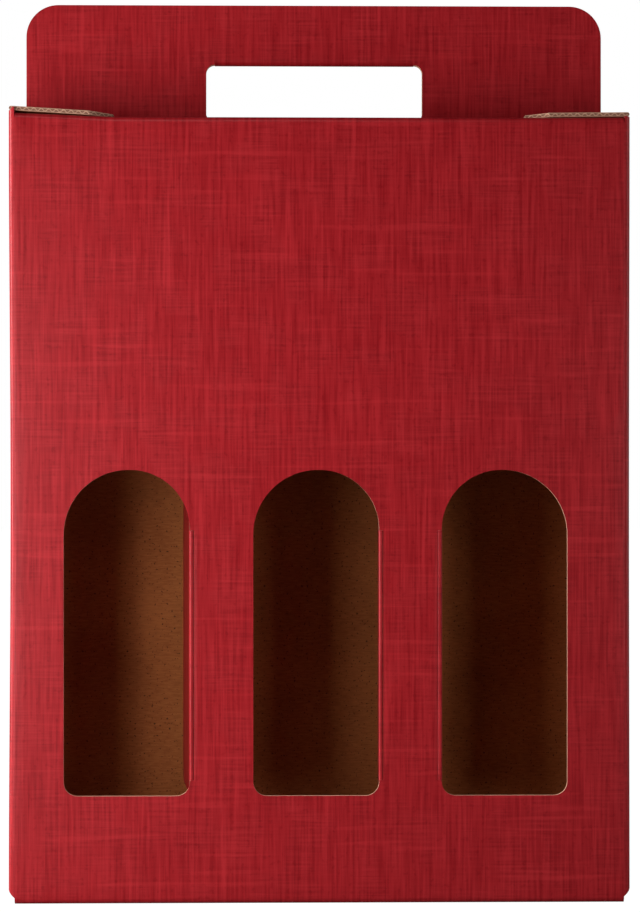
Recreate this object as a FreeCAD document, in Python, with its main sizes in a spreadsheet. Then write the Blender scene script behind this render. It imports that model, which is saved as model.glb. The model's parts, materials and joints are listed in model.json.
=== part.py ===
import FreeCAD, Part
import math
import os
import re
import Sketcher

# Bottle shipping box: a carton for three bottles side by side, folded from one printed and
# laminated sheet of fine corrugated board. It stands on its bottom panels with its origin at the
# middle of the footprint. The windows face -Y, +X is to the right seen from the front, +Z is up.
#
# carton: the folded sheet. Four wall panels with a glued corner, three overlapped bottom layers,
#   two top panels that meet in the middle and rise as the two layers of the handle, and the hand
#   flap that is pushed through both layers and lies up the back one.
# left_top_flap, right_top_flap: the side panels' top flaps, forked so that they pass the handle.
# left_, middle_ and right_window_flap: the dividers, cut from the windows and folded inwards.
#
# A flap is the same sheet as the carton, and only its crease lies between them. Here the crease is
# a round root, half the board in radius, that turns a small gap away from the panel's edge.


# driving sizes, in millimetres and degrees
SIZES = {
    "board": 1.8,  # thickness of the corrugated board
    "fold_radius": 2.6,  # outside of every fixed fold
    "crease_gap": 0.3,  # between a flap's root and its panel
    "die_gap": 0.4,  # round a window flap when it is closed
    "layer_gap": 0.3,  # between sheets that lie loose on each other
    "bay_width": 85.0,  # one bottle's share of the inside
    "bay_depth": 85.0,
    "height": 327.0,  # to the top panels
    "top_panel_gap": 0.6,  # from a top panel's end to the side panel
    "bottom_edge_gap": 1.0,  # from a bottom panel's free edge to the wall
    "side_bottom_length": 42.0,
    "glue_flap_length": 35.0,
    "glue_setback": 0.5,
    "handle_inset": 5.5,  # from the box's side to the handle's side
    "handle_shift": -1.6,  # the handle sits a little to the left
    "handle_rise": 52.9,  # above the top panels
    "handle_corner": 14.0,
    "hole_width": 92.5,
    "hole_floor": 3.0,  # above the top panels
    "hole_rise": 27.0,  # from the top panels to the hand flap's bend
    "hole_corner": 3.4,
    "hand_flap_width": 86.0,
    "hand_flap_length": 19.0,
    "window_width": 54.0,
    "window_bottom": 45.0,
    "window_height": 135.0,
    "window_corner": 5.5,
    "window_crown": 0.6,  # flat length at the top of the arch
    "flap_relief": 1.3,  # where a window flap steps out to its full height, clear of the panel
    "left_window_shift": 5.8,  # each window's middle, from its bay's middle
    "middle_window_shift": -0.5,
    "right_window_shift": -9.2,
    "left_window_fold": 85.7,  # how far each window flap is folded in
    "middle_window_fold": 92.0,
    "right_window_fold": 88.0,
    "side_flap_length": 43.0,
    "side_flap_chamfer": 9.5,
    "slot_gap": 0.9,  # from the fork to the handle
    "left_flap_droop": 3.4,  # how far each top flap hangs below level
    "right_flap_droop": 0.6,
}

# sizes that follow from the driving ones
DERIVED = {
    "inner_radius": "fold_radius - board",
    "half_board": "board / 2",
    "half_width": "(3 * bay_width + 2 * board) / 2",
    "half_depth": "(bay_depth + 2 * board) / 2",
    "wall_top": "height - fold_radius",
    "top_panel_width": "3 * bay_width - 2 * top_panel_gap",
    "handle_half_width": "half_width - handle_inset",
    "handle_top": "height + handle_rise",
    "handle_front": "board + layer_gap / 2",
    "hole_top": "height + hole_rise",
    "root_setback": "half_board + crease_gap",
    "arch_radius": "(window_width - window_crown) / 2",
    "flap_arch_radius": "arch_radius - root_setback - flap_relief",
    "flap_root_low": "2 * die_gap + window_corner",
    "flap_root_high": "window_height - 2 * die_gap - flap_arch_radius",
    "flap_free_arch_radius": "arch_radius - die_gap",
    "flap_reach": "window_width - root_setback - die_gap",
    "side_flap_reach": "side_flap_length - half_board",
    "side_flap_half": "half_depth - fold_radius",
    "slot_half": "handle_front + slot_gap",
    "left_slot_start": "handle_inset + handle_shift - half_board - slot_gap",
    "right_slot_start": "handle_inset - handle_shift - half_board - slot_gap",
    "left_root_height": "height + crease_gap + half_board + side_flap_reach * sin(left_flap_droop * 1 deg)",
    "right_root_height": "height + crease_gap + half_board + side_flap_reach * sin(right_flap_droop * 1 deg)",
}

NAMES = set(SIZES) | set(DERIVED)
OVERRUN = 20.0  # how far a cut runs past what it cuts


def make_sheet(doc):
    sheet = doc.addObject("Spreadsheet::Sheet", "sizes")
    rows = [(name, repr(value)) for name, value in SIZES.items()]
    rows += [(name, "=" + formula) for name, formula in DERIVED.items()]
    for row, (name, content) in enumerate(rows, start=1):
        sheet.set(f"A{row}", name)
        sheet.set(f"B{row}", content)
        sheet.setAlias(f"B{row}", name)
    doc.recompute()
    return sheet


def bound(text):
    """The expression with every name of the sheet written as sizes.name."""
    return re.sub("[a-z_]+", lambda word: "sizes." + word[0] if word[0] in NAMES else word[0], text)


def number(holder, text):
    value = holder.evalExpression(bound(text))
    return float(getattr(value, "Value", value))


def new_sketch(body, role, name, offset="0"):
    """A sketch on one of the body's origin planes, moved along its normal by offset."""
    sketch = body.newObject("Sketcher::SketchObject", name)
    plane = next(item for item in body.Origin.OriginFeatures if item.Role == role)
    sketch.AttachmentSupport = [(plane, "")]
    sketch.MapMode = "FlatFace"
    sketch.setExpression("AttachmentOffset.Base.z", bound(offset))
    return sketch


def tie(sketch, kind, line, point, text):
    """Sets the distance of a line's point from the origin along one axis by an expression."""
    index = sketch.addConstraint(Sketcher.Constraint(kind, -1, 1, line, point, number(sketch, text)))
    sketch.setExpression(f"Constraints[{index}]", bound(text))


def draw_outline(sketch, corners):
    """A closed outline. Each corner is (x, y) or (x, y, radius), all as expressions.

    Sides that run level or upright are tied as such, and a rounded corner joins two of them."""
    count = len(corners)
    places = [FreeCAD.Vector(number(sketch, c[0]), number(sketch, c[1]), 0) for c in corners]
    radii = [number(sketch, c[2]) if len(c) > 2 else 0.0 for c in corners]
    sides = []
    level = []
    for i in range(count):
        j = (i + 1) % count
        along = (places[j] - places[i]).normalize()
        start = places[i] + along * radii[i]
        end = places[j] - along * radii[j]
        sides.append(sketch.addGeometry(Part.LineSegment(start, end), False))
        level.append("x" if abs(along.y) < 1e-9 else "y" if abs(along.x) < 1e-9 else "")
        if level[i] == "x":
            sketch.addConstraint(Sketcher.Constraint("Horizontal", sides[i]))
            tie(sketch, "DistanceY", sides[i], 1, corners[i][1])
        if level[i] == "y":
            sketch.addConstraint(Sketcher.Constraint("Vertical", sides[i]))
            tie(sketch, "DistanceX", sides[i], 1, corners[i][0])
    for i in range(count):
        before = sides[i - 1]
        if radii[i] > 0:
            into = (places[i] - places[i - 1]).normalize()
            out = (places[(i + 1) % count] - places[i]).normalize()
            centre = places[i] - into * radii[i] + out * radii[i]
            turn = into.x * out.y - into.y * out.x
            first = math.atan2(-out.y, -out.x)
            last = math.atan2(into.y, into.x)
            circle = Part.Circle(centre, FreeCAD.Vector(0, 0, 1), radii[i])
            if turn > 0:
                arc = sketch.addGeometry(Part.ArcOfCircle(circle, first, last), False)
                begin, finish = 1, 2
            else:
                arc = sketch.addGeometry(Part.ArcOfCircle(circle, last, first), False)
                begin, finish = 2, 1
            sketch.addConstraint(Sketcher.Constraint("Tangent", before, 2, arc, begin))
            sketch.addConstraint(Sketcher.Constraint("Tangent", arc, finish, sides[i], 1))
            index = sketch.addConstraint(Sketcher.Constraint("Radius", arc, radii[i]))
            sketch.setExpression(f"Constraints[{index}]", bound(corners[i][2]))
        else:
            sketch.addConstraint(Sketcher.Constraint("Coincident", before, 2, sides[i], 1))
            if "y" not in (level[i - 1], level[i]):
                tie(sketch, "DistanceX", sides[i], 1, corners[i][0])
            if "x" not in (level[i - 1], level[i]):
                tie(sketch, "DistanceY", sides[i], 1, corners[i][1])


def draw_circle(sketch, radius):
    circle = Part.Circle(FreeCAD.Vector(0, 0, 0), FreeCAD.Vector(0, 0, 1), number(sketch, radius))
    index = sketch.addGeometry(circle, False)
    sketch.addConstraint(Sketcher.Constraint("Coincident", index, 3, -1, 1))
    row = sketch.addConstraint(Sketcher.Constraint("Radius", index, number(sketch, radius)))
    sketch.setExpression(f"Constraints[{row}]", bound(radius))


def add_pad(body, sketch, length, both_ways=False):
    pad = body.newObject("PartDesign::Pad", sketch.Name + "_pad")
    pad.Profile = sketch
    pad.setExpression("Length", bound(length))
    pad.Midplane = both_ways
    finish_feature(body, pad, sketch)


def add_pocket(body, sketch, length, reverse=False, both_ways=False):
    before = body.Shape.Volume
    pocket = body.newObject("PartDesign::Pocket", sketch.Name + "_pocket")
    pocket.Profile = sketch
    pocket.setExpression("Length", bound(length))
    pocket.Reversed = reverse
    pocket.Midplane = both_ways
    finish_feature(body, pocket, sketch)
    if body.Shape.Volume > before - 1.0:
        raise RuntimeError(pocket.Name + " cuts nothing")


def finish_feature(body, feature, sketch):
    body.Tip = feature
    body.Document.recompute()
    if sketch.solve() != 0:
        raise RuntimeError(sketch.Name + " can't be solved")


def add_walls(body):
    """The four wall panels and the glue flap that closes the back right corner."""
    sketch = new_sketch(body, "XY_Plane", "walls", "fold_radius")
    seam_end = "half_depth - fold_radius - glue_setback"
    outside = [
        ("-half_width", "-half_depth", "fold_radius"),
        ("half_width", "-half_depth", "fold_radius"),
        ("half_width", seam_end),
        ("half_width - board", seam_end),
        ("half_width - board", "half_depth", "fold_radius"),
        ("-half_width", "half_depth", "fold_radius"),
    ]
    glue_end = "half_depth - board - glue_flap_length"
    inside = [
        ("-half_width + board", "-half_depth + board", "inner_radius"),
        ("half_width - board", "-half_depth + board", "inner_radius"),
        ("half_width - board", glue_end),
        ("half_width - 2 * board", glue_end),
        ("half_width - 2 * board", "half_depth - board", "inner_radius"),
        ("-half_width + board", "half_depth - board", "inner_radius"),
    ]
    draw_outline(sketch, outside)
    draw_outline(sketch, inside)
    add_pad(body, sketch, "wall_top - fold_radius")


def trim_wall_feet(body):
    """The side and back walls end higher, where their bottom panels turn in over the others."""
    sides = new_sketch(body, "XY_Plane", "side_feet", "fold_radius")
    reach = f"half_width + {OVERRUN}"
    deep = "half_depth - fold_radius"
    low = f"-({deep})"
    draw_outline(sides, [(f"-({reach})", low), (reach, low), (reach, deep), (f"-({reach})", deep)])
    add_pocket(body, sides, "2 * board", reverse=True)
    back = new_sketch(body, "XY_Plane", "back_foot", "fold_radius")
    wide = "half_width - fold_radius"
    low, high = "half_depth - fold_radius", f"half_depth + {OVERRUN}"
    draw_outline(back, [(f"-({wide})", low), (wide, low), (wide, high), (f"-({wide})", high)])
    add_pocket(body, back, "board", reverse=True)


def add_bottom(body):
    """Three layers, glued: the front panel's outermost, the back panel's on it, the sides' on top."""
    main_width = "2 * (half_width - fold_radius)"
    front = new_sketch(body, "YZ_Plane", "front_bottom")
    free = "half_depth - bottom_edge_gap"
    corners = [
        ("-half_depth", "2 * fold_radius"),
        ("-half_depth", "0", "fold_radius"),
        (free, "0"),
        (free, "board"),
        ("-half_depth + board", "board", "inner_radius"),
        ("-half_depth + board", "2 * fold_radius"),
    ]
    draw_outline(front, corners)
    add_pad(body, front, main_width, both_ways=True)
    back = new_sketch(body, "YZ_Plane", "back_bottom")
    free = "-half_depth + board + bottom_edge_gap"
    start = "board + 2 * fold_radius"
    corners = [
        ("half_depth", start),
        ("half_depth - board", start),
        ("half_depth - board", "2 * board", "inner_radius"),
        (free, "2 * board"),
        (free, "board"),
        ("half_depth", "board", "fold_radius"),
    ]
    draw_outline(back, corners)
    add_pad(body, back, main_width, both_ways=True)
    for name, side in (("left_bottom", "-"), ("right_bottom", "")):
        sketch = new_sketch(body, "XZ_Plane", name)
        start = "2 * board + 2 * fold_radius"
        free = f"{side}(half_width - side_bottom_length)"
        inner = f"{side}(half_width - board)"
        outer = f"{side}half_width" if side else "half_width"
        corners = [
            (outer, start),
            (inner, start),
            (inner, "3 * board", "inner_radius"),
            (free, "3 * board"),
            (free, "2 * board"),
            (outer, "2 * board", "fold_radius"),
        ]
        draw_outline(sketch, corners)
        add_pad(body, sketch, "2 * (half_depth - fold_radius)", both_ways=True)


def add_top(body):
    """Each top panel turns in from its wall and rises as one layer of the handle."""
    for name, side in (("front_top", "-"), ("back_top", "")):
        sketch = new_sketch(body, "YZ_Plane", name)
        wall_out = f"{side}(half_depth)"
        wall_in = f"{side}(half_depth - board)"
        layer_out = f"{side}(handle_front)"
        layer_in = f"{side}(layer_gap / 2)"
        corners = [
            (wall_out, "wall_top - fold_radius"),
            (wall_out, "height", "fold_radius"),
            (layer_out, "height", "inner_radius"),
            (layer_out, "handle_top"),
            (layer_in, "handle_top"),
            (layer_in, "height - board", "fold_radius"),
            (wall_in, "height - board", "inner_radius"),
            (wall_in, "wall_top - fold_radius"),
        ]
        draw_outline(sketch, corners)
        add_pad(body, sketch, "top_panel_width", both_ways=True)


def trim_handle(body):
    """Cuts the handle's sides and rounds its top corners, round a cut shaped like an arch."""
    sketch = new_sketch(body, "XZ_Plane", "handle_sides")
    panel = "top_panel_width / 2"
    foot, above = "height + crease_gap", f"handle_top + {OVERRUN}"
    corners = [
        (f"-{panel}", foot),
        ("handle_shift - handle_half_width", foot),
        ("handle_shift - handle_half_width", "handle_top", "handle_corner"),
        ("handle_shift + handle_half_width", "handle_top", "handle_corner"),
        ("handle_shift + handle_half_width", foot),
        (panel, foot),
        (panel, above),
        (f"-{panel}", above),
    ]
    draw_outline(sketch, corners)
    add_pocket(body, sketch, "4 * slot_half", both_ways=True)


def add_hand_hole(body):
    """The hole through both layers, and the flap that goes through it and up the back."""
    hole = new_sketch(body, "XZ_Plane", "hand_hole")
    left, right = "handle_shift - hole_width / 2", "handle_shift + hole_width / 2"
    low, high = "height + hole_floor", "hole_top + fold_radius"
    corners = [
        (left, low, "hole_corner"),
        (right, low, "hole_corner"),
        (right, high, "hole_corner"),
        (left, high, "hole_corner"),
    ]
    draw_outline(hole, corners)
    add_pocket(body, hole, "4 * slot_half", both_ways=True)
    flap = new_sketch(body, "YZ_Plane", "hand_flap", "handle_shift")
    rear = "handle_front + layer_gap"
    end = "hole_top + fold_radius + hand_flap_length"
    corners = [
        ("-handle_front", "hole_top + 2 * fold_radius"),
        ("-handle_front", "hole_top", "fold_radius"),
        (rear + " + board", "hole_top", "fold_radius"),
        (rear + " + board", end),
        (rear, end),
        (rear, "hole_top + board", "inner_radius"),
        ("-layer_gap / 2", "hole_top + board", "inner_radius"),
        ("-layer_gap / 2", "hole_top + 2 * fold_radius"),
    ]
    draw_outline(flap, corners)
    add_pad(body, flap, "hand_flap_width", both_ways=True)


WINDOWS = (
    # name, bay, side that the crease is on
    ("left", -1, 1),
    ("middle", 0, 1),
    ("right", 1, -1),
)


def window_edges(name, bay):
    centre = f"{bay} * bay_width + {name}_window_shift"
    return f"{centre} - window_width / 2", f"{centre} + window_width / 2"


def cut_windows(body):
    for name, bay, _ in WINDOWS:
        sketch = new_sketch(body, "XZ_Plane", name + "_window", "half_depth")
        left, right = window_edges(name, bay)
        low, high = "window_bottom", "window_bottom + window_height"
        corners = [
            (left, low, "window_corner"),
            (right, low, "window_corner"),
            (right, high, "arch_radius"),
            (left, high, "arch_radius"),
        ]
        draw_outline(sketch, corners)
        add_pocket(body, sketch, "2 * board")


def add_side_tops(body):
    """Each side panel rises to its top flap's crease."""
    for name, side in (("left", "-"), ("right", "")):
        sketch = new_sketch(body, "XY_Plane", name + "_side_top", "wall_top - fold_radius")
        outer = f"{side}(half_width)"
        inner = f"{side}(half_width - board)"
        front, back = "-side_flap_half", "side_flap_half - glue_setback"
        draw_outline(sketch, [(outer, front), (inner, front), (inner, back), (outer, back)])
        rise = f"{name}_root_height - root_setback - (wall_top - fold_radius)"
        add_pad(body, sketch, rise)


def make_carton(doc):
    body = new_body(doc, "carton")
    add_walls(body)
    trim_wall_feet(body)
    add_bottom(body)
    add_top(body)
    trim_handle(body)
    add_hand_hole(body)
    cut_windows(body)
    add_side_tops(body)
    return body


def make_window_flap(doc, name, bay, crease_side):
    """Drawn closed, with its crease on the Z axis and its free edge along +X, then folded in."""
    body = new_body(doc, name + "_window_flap")
    panel = new_sketch(body, "XZ_Plane", name + "_flap", "-half_board")
    low, high = "die_gap", "window_height - die_gap"
    corners = [
        ("0", "flap_root_low"),
        ("flap_relief", "flap_root_low"),
        ("flap_relief", low, "window_corner"),
        ("flap_reach", low, "window_corner"),
        ("flap_reach", high, "flap_free_arch_radius"),
        ("flap_relief", high, "flap_arch_radius"),
        ("flap_relief", "flap_root_high"),
        ("0", "flap_root_high"),
    ]
    draw_outline(panel, corners)
    add_pad(body, panel, "board")
    root = new_sketch(body, "XY_Plane", name + "_flap_root", "flap_root_low")
    draw_circle(root, "half_board")
    add_pad(body, root, "flap_root_high - flap_root_low")
    left, right = window_edges(name, bay)
    crease = f"{right} - root_setback" if crease_side > 0 else f"{left} + root_setback"
    turn = f"180 - {name}_window_fold" if crease_side > 0 else f"{name}_window_fold"
    place(body, crease, "-half_depth + half_board", "window_bottom", (0, 0, 1), turn)
    return body


def make_top_flap(doc, name, side):
    """Drawn level, with its crease on the Y axis and its free end along +X, then laid over."""
    body = new_body(doc, name + "_top_flap")
    fork = new_sketch(body, "XY_Plane", name + "_fork", "-half_board")
    reach, half = "side_flap_reach", "side_flap_half"
    cut_x, cut_y = "side_flap_reach - side_flap_chamfer", "side_flap_half - side_flap_chamfer"
    back_half = "side_flap_half - glue_setback"
    slot = name + "_slot_start"
    corners = [
        ("0", "-" + half),
        (cut_x, "-" + half),
        (reach, f"-({cut_y})"),
        (reach, "-slot_half"),
        (slot, "-slot_half"),
        (slot, "slot_half"),
        (reach, "slot_half"),
        (reach, cut_y),
        (cut_x, back_half),
        ("0", back_half),
    ]
    draw_outline(fork, corners)
    add_pad(body, fork, "board")
    root = new_sketch(body, "XZ_Plane", name + "_root", "-(" + back_half + ")")
    draw_circle(root, "half_board")
    add_pad(body, root, "side_flap_half + " + back_half)
    across = f"{side}(half_width - half_board)"
    turn = "left_flap_droop" if side else "180 - right_flap_droop"
    place(body, across, "0", name + "_root_height", (0, 1, 0), turn)
    return body


def new_body(doc, label):
    body = doc.addObject("PartDesign::Body", label)
    body.Label = label
    return body


def place(body, x, y, z, axis, angle):
    """Puts the body at a point, turned about one axis, all by expressions."""
    turn = FreeCAD.Rotation(FreeCAD.Vector(*axis), number(body, angle))
    point = FreeCAD.Vector(number(body, x), number(body, y), number(body, z))
    body.Placement = FreeCAD.Placement(point, turn)
    for name, text in (("x", x), ("y", y), ("z", z)):
        body.setExpression("Placement.Base." + name, bound(text))
    body.setExpression("Placement.Rotation.Angle", bound(angle))


def write_parts(doc, bodies):
    doc.recompute()
    for item in doc.Objects:
        if "Invalid" in item.State or "Error" in item.State:
            raise RuntimeError(item.Name + " failed")
    for body in bodies:
        shape = body.Shape
        if shape.isNull() or not shape.isValid() or len(shape.Solids) != 1:
            raise RuntimeError(body.Label + " is not one valid solid")
    os.makedirs("parts", exist_ok=True)
    for body in bodies:
        body.Shape.exportStep(os.path.join("parts", body.Label + ".step"))
        box = body.Shape.BoundBox
        print(body.Label, [round(v, 2) for v in (box.XMin, box.XMax, box.YMin, box.YMax, box.ZMin, box.ZMax)])


doc = FreeCAD.newDocument("bottle_shipping_box")
make_sheet(doc)
bodies = [make_carton(doc)]
bodies += [make_top_flap(doc, name, side) for name, side in (("left", "-"), ("right", ""))]
bodies += [make_window_flap(doc, name, bay, crease_side) for name, bay, crease_side in WINDOWS]
write_parts(doc, bodies)
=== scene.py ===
import json
import math

import bmesh
import bpy
import numpy as np
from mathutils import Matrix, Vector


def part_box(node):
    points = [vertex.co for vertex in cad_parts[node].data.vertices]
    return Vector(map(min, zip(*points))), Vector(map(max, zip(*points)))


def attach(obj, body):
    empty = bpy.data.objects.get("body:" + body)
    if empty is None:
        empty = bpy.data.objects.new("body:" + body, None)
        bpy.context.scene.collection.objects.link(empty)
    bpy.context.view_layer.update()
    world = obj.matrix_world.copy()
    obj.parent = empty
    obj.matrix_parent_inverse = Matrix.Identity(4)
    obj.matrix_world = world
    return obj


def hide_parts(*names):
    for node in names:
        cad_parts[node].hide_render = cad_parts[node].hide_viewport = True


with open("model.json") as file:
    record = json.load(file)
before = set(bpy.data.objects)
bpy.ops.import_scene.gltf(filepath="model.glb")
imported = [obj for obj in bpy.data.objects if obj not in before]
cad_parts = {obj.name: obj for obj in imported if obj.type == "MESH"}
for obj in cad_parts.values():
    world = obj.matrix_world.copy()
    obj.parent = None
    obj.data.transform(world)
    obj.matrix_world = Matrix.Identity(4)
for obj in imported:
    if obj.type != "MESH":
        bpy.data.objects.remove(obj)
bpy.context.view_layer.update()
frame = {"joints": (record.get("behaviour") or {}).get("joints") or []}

# Sizes of the folded box, in metres. The fold is a crease's outer radius and the lip is how far
# a cut edge swells beyond its faces. The seen gap is what is left between the printed face of a
# window flap's root and that of the panel it turns on
MM = 0.001
BOARD = 1.8 * MM
FOLD = 2.6 * MM
INNER_FOLD = FOLD - BOARD
LAYER_GAP = 0.3 * MM
SHEET_GAP = 0.05 * MM
LIP = 0.22 * MM
CREASE_GAP = 0.3 * MM
SEEN_GAP = 0.06 * MM
CARTON_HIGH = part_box("carton")[1]
HALF_WIDTH = CARTON_HIGH[0]
HALF_DEPTH = CARTON_HIGH[1]
HANDLE_TOP = CARTON_HIGH[2]
TOP = 327.0 * MM
WALL_TOP = TOP - FOLD
JOINTS = {joint["name"]: joint for joint in frame["joints"]}

GLUE_FLAP = 35 * MM
GLUE_SETBACK = 0.5 * MM
BOTTOM_EDGE_GAP = 1.0 * MM
SIDE_BOTTOM = 42 * MM

HANDLE_INSET = 5.5 * MM
HANDLE_SHIFT = -1.6 * MM
HANDLE_CORNER = 14 * MM
HANDLE_FRONT = BOARD + LAYER_GAP / 2
HOLE_HALF = 92.5 * MM / 2
HOLE_LOW = TOP + 3.0 * MM
HOLE_TOP = TOP + 27.0 * MM
HOLE_CORNER = 3.4 * MM
HAND_FLAP_HALF = 43 * MM
HAND_FLAP_END = HOLE_TOP + FOLD + 19 * MM

WINDOW_WIDTH = 54 * MM
WINDOW_LOW = 45 * MM
WINDOW_HEIGHT = 135 * MM
WINDOW_CORNER = 5.5 * MM
ARCH = (WINDOW_WIDTH - 0.6 * MM) / 2
DIE_GAP = 0.4 * MM
WINDOW_CENTRES = {"left": -79.2 * MM, "middle": -0.5 * MM, "right": 75.8 * MM}
WINDOW_FOLDS = {"left": 85.7, "middle": 92.0, "right": 88.0}
CREASE_SIDE = {"left": 1, "middle": 1, "right": -1}
FLAP_RELIEF = 1.3 * MM
FLAP_ROOT_LOW = 2 * DIE_GAP + WINDOW_CORNER
FLAP_ROOT_HIGH = WINDOW_HEIGHT - 2 * DIE_GAP - (ARCH - BOARD / 2 - CREASE_GAP - FLAP_RELIEF)
EDGE_STEP = 2.1 * MM

TOP_FLAP_REACH = 43 * MM - BOARD / 2
TOP_FLAP_CHAMFER = 9.5 * MM
TOP_FLAP_HALF = HALF_DEPTH - FOLD
SLOT_GAP = 0.9 * MM
SLOT_HALF = HANDLE_FRONT + SLOT_GAP
DROOP = {"left": 3.4, "right": 0.6}

# Material slots
PRINT, KRAFT, CUT = 0, 1, 2

FLUTE_PITCH = 3.1 * MM
LINER = 0.32 * MM

# Points on half a corner's arc, or on half a window's arch, and radii over which it is an arch
BEND_POINTS = 8
ARCH_POINTS = 18
ARCH_RADIUS = 20 * MM

# Seams are merged under the first distance, and slivers under the second
MERGE = 0.004 * MM
SLIVER = 0.001 * MM
SHARP_DEGREES = 40


class Blank:
    """The board of one piece, gathered as grids of points before it becomes a mesh."""

    def __init__(self):
        self.points = []
        self.quads = []
        self.finishes = []
        self.coords = []
        self.count = 0

    def patch(self, grid, coords, finish):
        """Quads between the neighbours of a grid of points (rows, columns, 3)."""
        rows, columns = grid.shape[:2]
        index = np.arange(rows * columns).reshape(rows, columns)
        corner = (index[:-1, :-1], index[1:, :-1], index[1:, 1:], index[:-1, 1:])
        quads = np.stack([c.ravel() for c in corner], axis=1)
        self.points.append(grid.reshape(-1, 3))
        self.coords.append(coords.reshape(-1, 2)[quads].reshape(-1, 2))
        self.quads.append(quads + self.count)
        self.finishes.append(np.broadcast_to(finish, (rows - 1, columns - 1)).ravel())
        self.count += rows * columns

    def board(self, outer, inward, coords):
        """Both faces of a stretch of board: printed outside, kraft one board further in."""
        self.patch(outer, coords, PRINT)
        self.patch(outer + BOARD * inward, coords, KRAFT)

    def rim(self, outer, inward, developed, side=1, closed=False, finish=CUT, lip=LIP):
        """A cut edge along a line of points on the printed face. It swells from both faces by
        the lip, along the cross product of the line's direction and the way in, mitred between
        one stretch and the next."""
        lip = np.broadcast_to(lip, len(outer))
        if closed:
            lip = np.concatenate([lip, lip[:1]])
            outer = np.concatenate([outer, outer[:1]])
            inward = np.concatenate([inward, inward[:1]])
            developed = np.concatenate([developed, developed[:1]])
        along = np.diff(outer, axis=0)
        along /= np.linalg.norm(along, axis=1, keepdims=True) + 1e-12
        out = side * np.cross(along, (inward[:-1] + inward[1:]) / 2)
        before = np.concatenate([out[-1:] if closed else out[:1], out])
        after = np.concatenate([out, out[:1] if closed else out[-1:]])
        share = 1 + np.sum(before * after, axis=1, keepdims=True)
        mitre = (before + after) / np.maximum(share, 0.5)
        depths = np.array([0, LIP, BOARD / 2, BOARD - LIP, BOARD])
        swell = np.array([0, 1, 1, 1, 0])[:, None, None] * (lip[:, None] * mitre)[None]
        grid = outer[None] + depths[:, None, None] * inward[None] + swell
        across = np.broadcast_to(depths[:, None], grid.shape[:2])
        coords = np.stack([np.broadcast_to(developed[None], grid.shape[:2]), across], axis=2)
        self.patch(grid, coords, finish)

    def finish(self, name, materials, warp=None):
        """The gathered grids as one mesh object, with its seams merged and its faces outwards."""
        points = np.concatenate(self.points)
        if warp is not None:
            points = warp(points)
        quads = np.concatenate(self.quads)
        mesh = bpy.data.meshes.new(name)
        mesh.from_pydata(points.tolist(), [], quads.tolist())
        for material in materials:
            mesh.materials.append(material)
        mesh.polygons.foreach_set("material_index", np.concatenate(self.finishes))
        layer = mesh.uv_layers.new(name="Sheet")
        layer.data.foreach_set("uv", np.concatenate(self.coords).ravel())
        work = bmesh.new()
        work.from_mesh(mesh)
        bmesh.ops.remove_doubles(work, verts=work.verts, dist=MERGE)
        bmesh.ops.dissolve_degenerate(work, edges=work.edges, dist=SLIVER)
        bmesh.ops.recalc_face_normals(work, faces=work.faces)
        work.to_mesh(mesh)
        work.free()
        mesh.polygons.foreach_set("use_smooth", np.ones(len(mesh.polygons), dtype=bool))
        mesh.set_sharp_from_angle(angle=math.radians(SHARP_DEGREES))
        piece = bpy.data.objects.new(name, mesh)
        bpy.context.scene.collection.objects.link(piece)
        return piece


def rectangle(x0, x1, z0, z1):
    return [(x0, z0, 0), (x1, z0, 0), (x1, z1, 0), (x0, z1, 0)]


def outline(corners, counts):
    """A rounded polygon as one loop of points. Side k runs from the middle of one corner's arc
    to the middle of the next; an arc's point is its centre, less the radius times the way out
    times the cosine, plus the radius times the way in times the sine, over a quarter turn."""
    places = np.array([corner[:2] for corner in corners])
    radii = [corner[2] for corner in corners]
    ways = np.roll(places, -1, axis=0) - places
    ways /= np.linalg.norm(ways, axis=1, keepdims=True)
    pieces = []
    for k, way in enumerate(ways):
        n = (k + 1) % len(corners)
        start_bend, end_bend = bend_points(radii[k]), bend_points(radii[n])
        if start_bend:
            turn = (math.pi / 4, math.pi / 2)
            pieces.append(bend(places[k], ways[k - 1], way, radii[k], turn, start_bend))
        t = np.linspace(0, 1, counts[k] - start_bend - end_bend, endpoint=False)[:, None]
        first = places[k] + radii[k] * way
        last = places[n] - radii[n] * way
        pieces.append(first * (1 - t) + last * t)
        if end_bend:
            turn = (0, math.pi / 4)
            pieces.append(bend(places[n], way, ways[n], radii[n], turn, end_bend))
    return np.concatenate(pieces)


def bend_points(radius):
    """How many points half a corner takes."""
    if radius == 0:
        return 0
    return ARCH_POINTS if radius > ARCH_RADIUS else BEND_POINTS


def bend(corner, into, out, radius, angles, count):
    """Points of the arc that rounds a right-angled corner, from one angle of turn to another."""
    turn = np.linspace(*angles, count, endpoint=False)[:, None]
    centre = corner + radius * (out - into)
    return centre - radius * out * np.cos(turn) + radius * into * np.sin(turn)


def ring(inner, outer, steps):
    """The grid between two loops with as many points: each point slides straight across."""
    t = np.linspace(0, 1, steps + 1)[:, None, None]
    grid = inner * (1 - t) + outer * t
    return np.concatenate([grid, grid[:, :1]], axis=1)


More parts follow.
